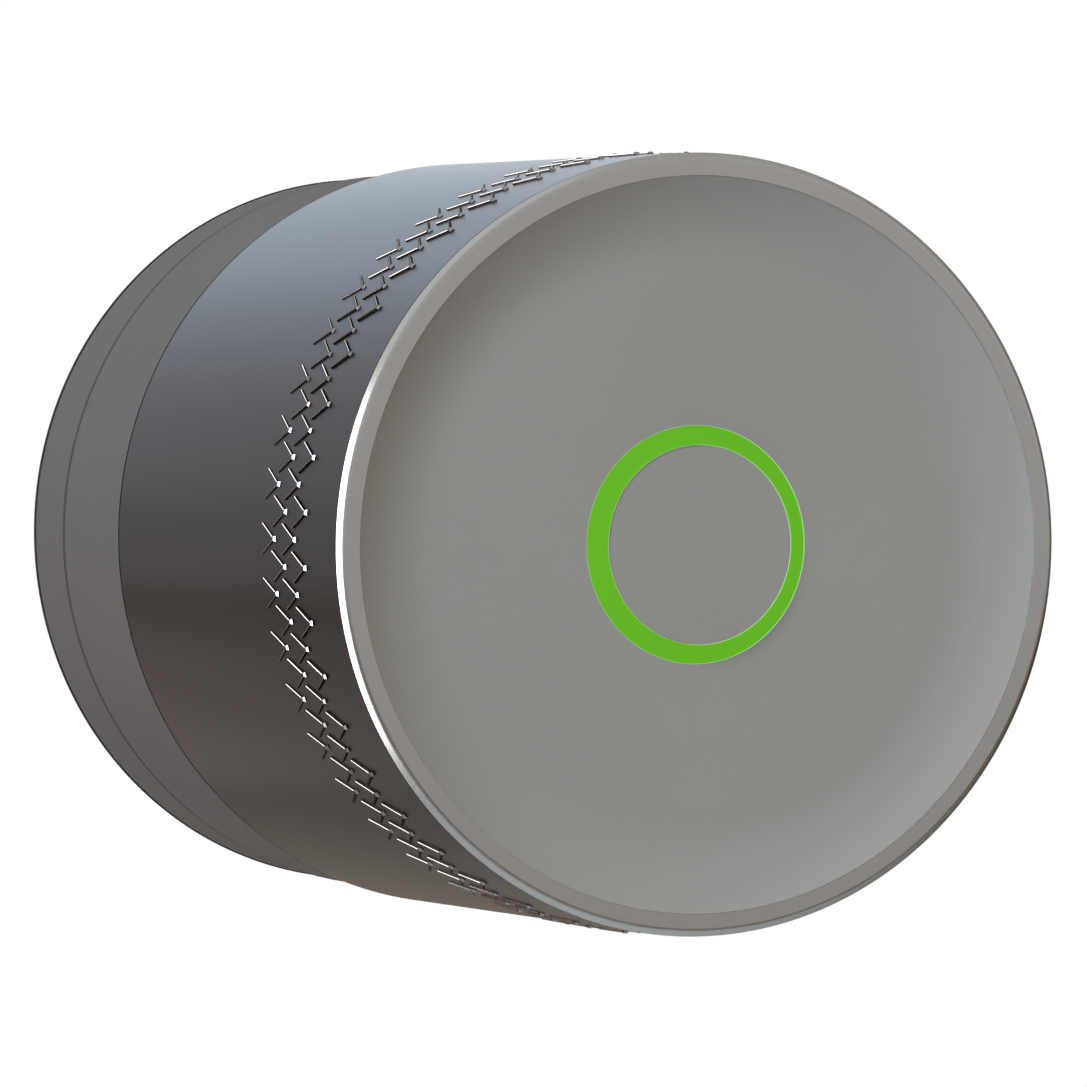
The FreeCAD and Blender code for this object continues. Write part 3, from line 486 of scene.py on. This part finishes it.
def sleeveRim():
    # a bevelled ring that starts in a fine groove in front of the sleeve
    foot = sleeve["front"] - rim["bevel"]
    outer = sleeveRadius(foot)
    groove = outer - rim["grooveDepth"]
    grooveRear = foot - rim["grooveWidth"] - rim["grooveLap"]
    outline = roundedOutline([
        (groove, grooveRear, 0),
        (groove, foot - rim["land"], 0),
        (outer, foot - rim["land"], 0),
        (outer, foot, 0),
        (outer - rim["bevel"], sleeve["front"], rim["bevelRound"]),
        (rim["bore"], sleeve["front"], rim["innerRound"]),
        (rim["bore"], rim["rear"], 0),
        (sleeve["bore"] + rim["boreLap"], rim["rear"], 0),
        (sleeve["bore"] + rim["boreLap"], grooveRear, 0),
    ], guard=0.01)
    data = plainMesh(turnedMesh(outline))
    finishPiece("sleeveRim", data, "front_grey", "knob", "outer_sleeve", finish="rimMetal")


def sleeveShadowLip():
    front = sleeve["rear"] + lip["depth"] + lip["lap"]
    outer = sleeve["rearRadius"] - lip["inset"]
    inner = sleeve["bore"] + lip["lap"]
    outline = roundedOutline([
        (outer, sleeve["rear"], lip["round"]),
        (outer, front, 0),
        (inner, front, 0),
        (inner, sleeve["rear"], 0),
    ], arcSteps=3, guard=0.01)
    data = plainMesh(turnedMesh(outline))
    finishPiece("sleeveShadowLip", data, "sleeve_metal", "knob", "outer_sleeve", finish="gapShadowRubber")


sleeveShell()
sleeveRim()
sleeveShadowLip()

# Raised chevrons: one is modelled here and the node tree sets it round the sleeve

chevron = {
    "rows": 90, "bands": 2, "startAngle": 3.1, "evenApex": 54.55, "oddApex": 56.55, "pitch": 4.05,
    "legReach": 2.35, "legSpread": 1.1, "width": 0.2,
    # (height above the sleeve, lean of the flanks) of the dark foot, whose darker metal is painted shade on
    # the flanks, and of the polished ridge on it
    "foot": ((-0.2, 0), (0, 0), (0.11, 0.02)),
    "ridge": ((0.105, 0.03), (0.15, 0.06), (0.165, 0.09)),
    # the blunt head at the point: half width, front, rear and (height, lean, lean of the nose)
    "headHalf": 0.2, "headFront": 0.28, "headRear": -0.14,
    "head": ((-0.2, 0, 0), (0.03, 0, 0.01), (0.17, 0.06, 0.14), (0.2, 0.1, 0.2)),
}


def legOutline(inset):
    # a V with its point to the front, as (sideways, height) from the point
    reach = chevron["legReach"]
    spread = chevron["legSpread"]
    leg = math.hypot(reach, spread)
    half = chevron["width"] / 2 - inset
    point = half * leg / spread
    across = Vector((half * reach / leg, half * spread / leg))
    tip = Vector((spread, -reach)) * (1 - inset / leg)
    right = [tip + across, tip - across]
    left = [Vector((-spot.x, spot.y)) for spot in reversed(right)]
    return [Vector((0, point))] + right + [Vector((0, -point))] + left


def headOutline(inset, noseInset):
    half = chevron["headHalf"] - inset
    front = chevron["headFront"] - noseInset
    rear = chevron["headRear"] + inset
    return [Vector((half, front)), Vector((half, rear)), Vector((-half, rear)), Vector((-half, front))]


def addLevels(mesh, levels):
    # stacks (height above the sleeve, outline) levels into one closed shape, bent round the sleeve
    middle = (chevron["evenApex"] + chevron["oddApex"] + chevron["pitch"] - chevron["legReach"]) / 2
    seat = sleeveRadius(middle)
    loops = []
    for lift, outline in levels:
        loop = []
        for spot in outline:
            radius = (seat + lift) * mm
            turn = spot.x / seat
            loop.append(mesh.verts.new((radius * math.cos(turn), -spot.y * mm, radius * math.sin(turn))))
        loops.append(loop)
    faces = []
    for loop, following in zip(loops, loops[1:]):
        for index, corner in enumerate(loop):
            ahead = (index + 1) % len(loop)
            faces.append(mesh.faces.new((corner, loop[ahead], following[ahead], following[index])))
    faces.append(mesh.faces.new(loops[-1]))
    faces.append(mesh.faces.new(reversed(loops[0])))
    bmesh.ops.recalc_face_normals(mesh, faces=faces)
    bmesh.ops.triangulate(mesh, faces=[face for face in faces if len(face.verts) > 4])


def chevronShadedFoot():
    mesh = bmesh.new()
    addLevels(mesh, [(lift, legOutline(inset)) for lift, inset in chevron["foot"]])
    return mesh


def chevronRidge():
    mesh = bmesh.new()
    addLevels(mesh, [(lift, legOutline(inset)) for lift, inset in chevron["ridge"]])
    addLevels(mesh, [(lift, headOutline(inset, noseInset)) for lift, inset, noseInset in chevron["head"]])
    return mesh


def chevronTree():
    tree = bpy.data.node_groups.new("chevronGrips", "GeometryNodeTree")
    tree.interface.new_socket("Geometry", in_out="INPUT", socket_type="NodeSocketGeometry")
    kinds = {"Rows": "Int", "Bands": "Int", "Start Angle": "Float",
             "Even Apex": "Float", "Odd Apex": "Float", "Pitch": "Float", "Finish": "Material"}
    for name, kind in kinds.items():
        tree.interface.new_socket(name, in_out="INPUT", socket_type="NodeSocket" + kind)
    tree.interface.new_socket("Geometry", in_out="OUTPUT", socket_type="NodeSocketGeometry")
    inputs = newNode(tree, "NodeGroupInput", -1400, 0)
    result = newNode(tree, "NodeGroupOutput", 900, 0)

    def sums(operation, first, second, x, y):
        node = newNode(tree, "ShaderNodeMath", x, y, operation=operation)
        for value, socket in zip((first, second), node.inputs):
            if isinstance(value, (int, float)):
                socket.default_value = value
            elif value is not None:
                tree.links.new(value, socket)
        return node.outputs[0]

    index = newNode(tree, "GeometryNodeInputIndex", -1400, -300).outputs[0]
    count = sums("MULTIPLY", inputs.outputs["Rows"], inputs.outputs["Bands"], -1150, 200)
    row = sums("FLOOR", sums("DIVIDE", index, inputs.outputs["Bands"], -1150, -300), None, -950, -300)
    band = sums("SUBTRACT", index, sums("MULTIPLY", row, inputs.outputs["Bands"], -750, -400), -550, -400)
    odd = sums("MODULO", row, 2, -750, -550)
    step = sums("SUBTRACT", inputs.outputs["Odd Apex"], inputs.outputs["Even Apex"], -950, -700)
    apex = sums("ADD", inputs.outputs["Even Apex"], sums("MULTIPLY", odd, step, -550, -600), -350, -600)
    height = sums("ADD", apex, sums("MULTIPLY", band, inputs.outputs["Pitch"], -350, -400), -150, -500)
    turn = sums("DIVIDE", sums("MULTIPLY", row, 360, -550, -200), inputs.outputs["Rows"], -350, -200)
    angle = sums("RADIANS", sums("ADD", turn, inputs.outputs["Start Angle"], -150, -200), None, 0, -200)
    place = newNode(tree, "ShaderNodeCombineXYZ", 50, -500)
    tree.links.new(sums("MULTIPLY", height, -mm, 0, -350), place.inputs["Y"])
    spin = newNode(tree, "ShaderNodeCombineXYZ", 150, -200)
    tree.links.new(sums("MULTIPLY", angle, -1, 100, -50), spin.inputs["Y"])

    points = newNode(tree, "GeometryNodePoints", 0, 200)
    tree.links.new(count, points.inputs["Count"])
    tree.links.new(place.outputs["Vector"], points.inputs["Position"])
    copies = newNode(tree, "GeometryNodeInstanceOnPoints", 300, 100)
    tree.links.new(points.outputs[0], copies.inputs["Points"])
    tree.links.new(inputs.outputs["Geometry"], copies.inputs["Instance"])
    tree.links.new(spin.outputs["Vector"], copies.inputs["Rotation"])
    real = newNode(tree, "GeometryNodeRealizeInstances", 500, 100)
    paint = newNode(tree, "GeometryNodeSetMaterial", 700, 100)
    tree.links.new(copies.outputs[0], real.inputs[0])
    tree.links.new(real.outputs[0], paint.inputs["Geometry"])
    tree.links.new(inputs.outputs["Finish"], paint.inputs["Material"])
    tree.links.new(paint.outputs[0], result.inputs[0])
    return tree


def fromTree(tree, shape, values):
    # runs a node tree on a mesh once and returns the result as a plain mesh
    holder = bpy.data.objects.new("holder", plainMesh(shape))
    bpy.context.scene.collection.objects.link(holder)
    modifier = holder.modifiers.new("grips", "NODES")
    modifier.node_group = tree
    for socket in tree.interface.items_tree:
        if socket.name in values and socket.in_out == "INPUT":
            modifier[socket.identifier] = values[socket.name]
    bpy.context.view_layer.update()
    evaluated = holder.evaluated_get(bpy.context.evaluated_depsgraph_get())
    result = bpy.data.meshes.new_from_object(evaluated)
    holder.modifiers.remove(modifier)
    bpy.data.objects.remove(holder)
    return result


def chevronPiece(name, tree, shape, finish):
    values = {"Rows": chevron["rows"], "Bands": chevron["bands"], "Start Angle": chevron["startAngle"],
              "Even Apex": chevron["evenApex"], "Odd Apex": chevron["oddApex"], "Pitch": chevron["pitch"],
              "Finish": materials[finish]}
    finishPiece(name, fromTree(tree, shape, values), "sleeve_metal", "knob", "outer_sleeve",
                finish=finish, sharpAngle=15)


chevronGrips = chevronTree()
chevronPiece("chevronShadedFeet", chevronGrips, chevronShadedFoot(), "chevronShadedFoot")
chevronPiece("chevronRidges", chevronGrips, chevronRidge(), "chevronMetal")

# Dark seals: one round the plate's rear edge, against the door, and one in the joint with the housing; their
# dark rubber is painted shadow along the rear edge and painted shade in the joint's crease

seals = {
    "doorSealShadow": {
        "outer": 28.38, "inner": 28.0, "rear": 0.0, "front": 0.32, "round": 0.02, "finish": "doorShadowRubber",
    },
    "jointShadeSeal": {
        "outer": 28.46, "inner": 27.9, "rear": 7.2, "front": 7.8, "round": 0.02, "finish": "creaseShadeRubber",
    },
}


def baseSeal(name, seal):
    outline = roundedOutline([
        (seal["outer"], seal["rear"], seal["round"]),
        (seal["outer"], seal["front"], seal["round"]),
        (seal["inner"], seal["front"], 0),
        (seal["inner"], seal["rear"], 0),
    ], arcSteps=3, guard=0.01)
    finishPiece(name, plainMesh(turnedMesh(outline)), "black_plastic", "base", finish=seal["finish"])


for name, seal in seals.items():
    baseSeal(name, seal)

# Front cover: a shallow dish with a skirt, three magnet bosses and three board posts behind it

dish = {
    "radius": 26.87, "edge": 66.98, "edgeRound": 0.01, "flatRadius": 20.6, "floor": 65.7, "underside": 64.2,
    "skirtBore": 25.55, "skirtRear": 60.2, "skirtRound": 0.2, "innerRound": 0.3,
    "hole": 8.72, "holeRound": 0.01, "arcSteps": 18,
    "bossCircle": 23.9, "bossRadius": 2.1, "bossCore": 0.4, "bossRear": 58.8,
    "pocketRadius": 1.5, "pocketFront": 60.8,
    "postCircle": 18.6, "postRadius": 2.0, "threadRadius": 0.75, "postRear": 61.3,
    "bossAngles": (0, 120, 240), "postAngles": (90, 210, 330),
}


def addTube(mesh, middle, angle, outer, inner, rear, front):
    # a tube with a closed front, open to the rear, whose middle lies on a circle round the knob's axis
    turn = math.radians(angle)
    x = middle * math.cos(turn)
    z = middle * math.sin(turn)
    rings = []
    for radius, height in ((outer, front), (outer, rear), (inner, rear), (inner, front)):
        ring = []
        for step in range(tubeSteps):
            around = 2 * math.pi * step / tubeSteps
            ring.append(mesh.verts.new(((x + radius * math.cos(around)) * mm, -height * mm,
                                        (z + radius * math.sin(around)) * mm)))
        rings.append(ring)
    faces = []
    for ring, following in zip(rings, rings[1:]):
        for step in range(tubeSteps):
            ahead = (step + 1) % tubeSteps
            faces.append(mesh.faces.new((ring[step], ring[ahead], following[ahead], following[step])))
    faces.append(mesh.faces.new(rings[0]))
    faces.append(mesh.faces.new(rings[-1]))
    bmesh.ops.recalc_face_normals(mesh, faces=faces)


def frontDish():
    # the wall of the dish is an arc that runs flat into the middle
    reach = dish["radius"] - dish["flatRadius"]
    drop = dish["edge"] - dish["floor"]
    arcRadius = (reach ** 2 + drop ** 2) / (2 * drop)
    sweep = math.asin(reach / arcRadius)
    wall = []
    for step in range(dish["arcSteps"]):
        turn = sweep * step / dish["arcSteps"]
        radius = dish["flatRadius"] + arcRadius * math.sin(turn)
        height = dish["floor"] + arcRadius * (1 - math.cos(turn))
        wall.append((radius, height, 0))
    hole = [
        (dish["hole"], dish["underside"], 0),
        (dish["hole"], dish["floor"], dish["holeRound"]),
    ]
    skirt = [
        (dish["radius"], dish["edge"], dish["edgeRound"]),
        (dish["radius"], dish["skirtRear"], dish["skirtRound"]),
        (dish["skirtBore"], dish["skirtRear"], dish["skirtRound"]),
        (dish["skirtBore"], dish["underside"], dish["innerRound"]),
    ]
    mesh = turnedMesh(roundedOutline(hole + wall + skirt, guard=0.02))
    for angle in dish["bossAngles"]:
        addTube(mesh, dish["bossCircle"], angle, dish["bossRadius"], dish["pocketRadius"],
                dish["bossRear"], dish["pocketFront"])
        addTube(mesh, dish["bossCircle"], angle, dish["bossRadius"], dish["bossCore"],
                dish["pocketFront"], dish["underside"])
    for angle in dish["postAngles"]:
        addTube(mesh, dish["postCircle"], angle, dish["postRadius"], dish["threadRadius"],
                dish["postRear"], dish["underside"])
    finishPiece("frontDish", plainMesh(mesh), "front_grey", "cover", "front_cover")


frontDish()

# Light ring, a shallow cone of lit plastic that climbs from the dish to the button, with a stepped foot

ring = {
    "outer": 8.72, "inner": 7.28, "top": 66.38, "bottom": 65.56, "step": 64.3,
    "flange": 10.2, "flangeFront": 64.2, "flangeRound": 0.15, "foot": 62.0, "footBore": 8.2,
    "lip": 0.025, "lipRise": 0.02, "lipClear": 0.1,
}


def lightRing():
    # the lit face lies between two thin pale lips; their paler glow is painted highlight over the guide's
    # own light
    outline = roundedOutline([
        (ring["inner"] + ring["lip"], ring["top"], 0),
        (ring["outer"] - ring["lip"], ring["bottom"], 0),
        (ring["outer"] - ring["lip"], ring["flangeFront"], 0),
        (ring["flange"], ring["flangeFront"], ring["flangeRound"]),
        (ring["flange"], ring["foot"], ring["flangeRound"]),
        (ring["footBore"], ring["foot"], 0),
        (ring["footBore"], ring["step"], 0),
        (ring["inner"] + ring["lip"], ring["step"], 0),
    ], guard=0.02)
    finishPiece("lightRing", plainMesh(turnedMesh(outline)), "light_green", "cover", "light_guide")


def ringLip(name, inside, front, rear):
    outside = inside + ring["lip"]
    data = plainMesh(turnedMesh([(inside, rear), (inside, front), (outside, front), (outside, rear)]))
    finishPiece(name, data, "light_green", "cover", "light_guide", finish="ringEdgeGlowAndHighlight")


lightRing()
ringLip("ringLipOuter", ring["outer"] - ring["lip"], dish["floor"], ring["flangeFront"] + ring["lipClear"])
ringLip("ringLipInner", ring["inner"], ring["top"] + ring["lipRise"], ring["step"] + ring["lipClear"])

# Centre button: a hollow cap on a flange, with a stem that reaches the switch

button = {
    "radius": 7.25, "top": 66.35, "edgeRound": 0.02, "bore": 6.0, "skin": 1.2, "innerRound": 0.3,
    "flange": 8.1, "flangeFront": 64.1, "flangeRear": 63.4, "flangeRound": 0.1,
    "stem": 1.5, "stemRear": 63.3, "stemRound": 0.15,
}


def centreButton():
    under = button["top"] - button["skin"]
    outline = roundedOutline([
        (0, button["top"], 0),
        (button["radius"], button["top"], button["edgeRound"]),
        (button["radius"], button["flangeFront"], 0),
        (button["flange"], button["flangeFront"], button["flangeRound"]),
        (button["flange"], button["flangeRear"], button["flangeRound"]),
        (button["bore"], button["flangeRear"], 0),
        (button["bore"], under, button["innerRound"]),
        (button["stem"], under, button["innerRound"]),
        (button["stem"], button["stemRear"], button["stemRound"]),
        (0, button["stemRear"], 0),
    ], guard=0.03)
    finishPiece("centreButton", plainMesh(turnedMesh(outline)), "button_grey", "button", "center_button")


centreButton()

# Light, floor and camera: places and sizes in metres, angles in degrees, lens and sensor in millimetres

lamps = {
    # soft light on the object; a matt lamp shows in no reflection, and a card shows only in reflections
    "key": {
        "place": (-0.80, -0.60, 0.98), "size": (0.5, 0.5),
        "power": 2.15, "spread": 50, "colour": (0.80, 0.96, 1.0), "matt": True,
    },
    "side": {
        "place": (-1.0, -0.55, 0.02), "size": (0.16, 0.8),
        "power": 0.95, "spread": 60, "colour": (0.5, 0.68, 1.0),
    },
    "top": {
        "place": (0.0, 0.6, 0.8), "size": (0.3, 0.3),
        "power": 1.3, "spread": 60, "colour": (0.62, 0.78, 1.0), "matt": True,
    },
    "back": {
        "place": (0.09, 1.0, 0.46), "size": (0.8, 0.8),
        "power": 0.33, "spread": 60, "colour": (0.50, 0.77, 1.0),
    },
    "sheen": {
        "place": (-0.24, 1.0, 0.35), "size": (0.6, 0.6),
        "power": 0.57, "spread": 180, "colour": (0.66, 0.80, 1.0), "card": True,
    },
    "low": {
        "place": (-0.31, 0.14, -0.32), "size": (0.3, 0.3),
        "power": 0.8, "spread": 120, "colour": (1.0, 0.97, 0.97), "matt": True,
    },
    "lowSheen": {
        "place": (-0.16, 0.8, -0.25), "size": (0.34, 0.16),
        "power": 0.12, "spread": 180, "roll": 43, "colour": (1.0, 0.96, 1.0), "card": True,
    },
    "ground": {
        "place": (-0.3, 1.1, 0.75), "aim": (-0.3, 1.2, -0.35), "size": (0.6, 0.6),
        "power": 1.3, "spread": 110, "colour": (0.94, 0.93, 1.0),
    },
    # white and pale cards for the polished bevel, the legs of the chevrons and the front end of the sleeve
    "leftCard": {
        "place": (-0.37, -0.155, -0.06), "aim": (0.0, 0.0, -0.06), "size": (0.14, 0.5),
        "power": 2.1, "spread": 180, "colour": (1.0, 1.0, 1.0), "card": True,
    },
    "upCard": {
        "place": (-0.19, 0.57, 0.80), "size": (1.1, 0.2),
        "power": 6.5, "spread": 180, "roll": -14, "colour": (0.93, 0.98, 1.0), "card": True,
    },
    "lowCard": {
        "place": (-0.86, 0.46, 0.23), "size": (1.1, 0.2),
        "power": 5.6, "spread": 180, "roll": -78, "colour": (1.0, 1.0, 1.0), "card": True,
    },
    "rightCard": {
        "place": (0.37, 0.68, 0.63), "size": (0.43, 0.26),
        "power": 2.2, "spread": 180, "roll": 61, "colour": (0.84, 0.94, 1.0), "card": True,
    },
    "bandCard": {
        "place": (-0.38, -0.27, 0.89), "size": (1.00, 0.24),
        "power": 0.42, "spread": 180, "roll": 74, "colour": (0.72, 0.88, 1.0), "card": True,
    },
}


def softLamp(name, look):
    light = bpy.data.lights.new(name + "Lamp", "AREA")
    light.shape = "RECTANGLE"
    light.size, light.size_y = look["size"]
    light.energy = look["power"]
    light.spread = math.radians(look["spread"])
    light.color = look["colour"]
    lamp = bpy.data.objects.new(name + "Lamp", light)
    lamp.location = look["place"]
    aim = Vector(look.get("aim", view["target"]))
    turned = (aim - lamp.location).to_track_quat("-Z", "Y").to_matrix()
    lamp.rotation_euler = (turned @ Matrix.Rotation(math.radians(look.get("roll", 0)), 3, "Z")).to_euler()
    lamp.visible_camera = False
    lamp.visible_diffuse = not look.get("card", False)
    lamp.visible_glossy = not look.get("matt", False)
    bpy.context.scene.collection.objects.link(lamp)


room = {"above": (0.37, 0.29, 0.20, 1.0), "below": (0.35, 0.27, 0.18, 1.0)}


def paintRoom():
    # a soft warm room lights the object, and rays from the camera, gloss or glass see plain white
    world = bpy.data.worlds.new("room")
    world.use_nodes = True
    bpy.context.scene.world = world
    tree = world.node_tree
    soft = tree.nodes["Background"]
    way = newNode(tree, "ShaderNodeSeparateXYZ", -700, 0)
    tree.links.new(newNode(tree, "ShaderNodeTexCoord", -900, 0).outputs["Generated"], way.inputs["Vector"])
    height = newNode(tree, "ShaderNodeMapRange", -500, 0)
    height.inputs["From Min"].default_value = -1
    tree.links.new(way.outputs["Z"], height.inputs["Value"])
    walls = blendColours(tree, height.outputs["Result"], room["below"], room["above"])
    tree.links.new(walls, soft.inputs["Color"])
    white = newNode(tree, "ShaderNodeBackground", 0, -200)
    white.inputs["Color"].default_value = (1, 1, 1, 1)
    rays = newNode(tree, "ShaderNodeLightPath", -500, 300)
    seen = newNode(tree, "ShaderNodeMath", -250, 300, operation="MAXIMUM")
    either = newNode(tree, "ShaderNodeMath", -50, 300, operation="MAXIMUM")
    tree.links.new(rays.outputs["Is Camera Ray"], seen.inputs[0])
    tree.links.new(rays.outputs["Is Glossy Ray"], seen.inputs[1])
    tree.links.new(seen.outputs[0], either.inputs[0])
    tree.links.new(rays.outputs["Is Transmission Ray"], either.inputs[1])
    mix = newNode(tree, "ShaderNodeMixShader", 200, 100)
    tree.links.new(either.outputs[0], mix.inputs["Fac"])
    tree.links.new(soft.outputs[0], mix.inputs[1])
    tree.links.new(white.outputs[0], mix.inputs[2])
    tree.links.new(mix.outputs[0], tree.nodes["World Output"].inputs["Surface"])


studioFloor = {
    "height": -0.35, "radius": 3.0, "steps": 96, "colour": srgb(238, 238, 238), "shade": srgb(232, 232, 232),
    "mottle": 6, "detail": 3.0, "roughness": 0.8, "specular": 0.2,
}


def layFloor():
    edge = []
    for step in range(studioFloor["steps"]):
        turn = 2 * math.pi * step / studioFloor["steps"]
        x = studioFloor["radius"] * math.cos(turn)
        y = studioFloor["radius"] * math.sin(turn)
        edge.append((x, y, studioFloor["height"]))
    data = bpy.data.meshes.new("studioFloor")
    data.from_pydata(edge, [], [range(studioFloor["steps"])])
    floor = bpy.data.objects.new("studioFloor", data)
    bpy.context.scene.collection.objects.link(floor)
    paint, tree, shader = startMaterial("floorPaint", studioFloor)
    mottle = noise(tree, objectPoint(tree), studioFloor["mottle"], studioFloor["detail"])
    colour = blendColours(tree, mottle, studioFloor["colour"], studioFloor["shade"])
    tree.links.new(colour, shader.inputs["Base Color"])
    shader.inputs["Roughness"].default_value = studioFloor["roughness"]
    data.materials.append(paint)


# The photograph's view: the camera looks at the target and then slides within its own picture plane
view = {
    "azimuth": -23.0, "elevation": 1.185, "distance": 0.5618, "lens": 240.2, "sensor": 36,
    "target": (0.0, -0.03, 0.0), "slideRight": 0.002798, "slideUp": -0.000594,
}


def setCamera():
    turn = math.radians(view["azimuth"])
    rise = math.radians(view["elevation"])
    back = Vector((math.sin(turn) * math.cos(rise), -math.cos(turn) * math.cos(rise), math.sin(rise)))
    right = Vector((math.cos(turn), math.sin(turn), 0))
    up = back.cross(right)
    camera = bpy.data.objects.new("studioCamera", bpy.data.cameras.new("studioCamera"))
    camera.data.lens = view["lens"]
    camera.data.sensor_width = view["sensor"]
    place = Vector(view["target"]) + back * view["distance"]
    place += right * view["slideRight"]
    place += up * view["slideUp"]
    turned = Matrix((right, up, back)).transposed().to_4x4()
    turned.translation = place
    camera.matrix_world = turned
    bpy.context.scene.collection.objects.link(camera)
    bpy.context.scene.camera = camera


for name, look in lamps.items():
    softLamp(name, look)
paintRoom()
layFloor()
setCamera()
bpy.context.scene.view_settings.view_transform = "Standard"
print("studio set")
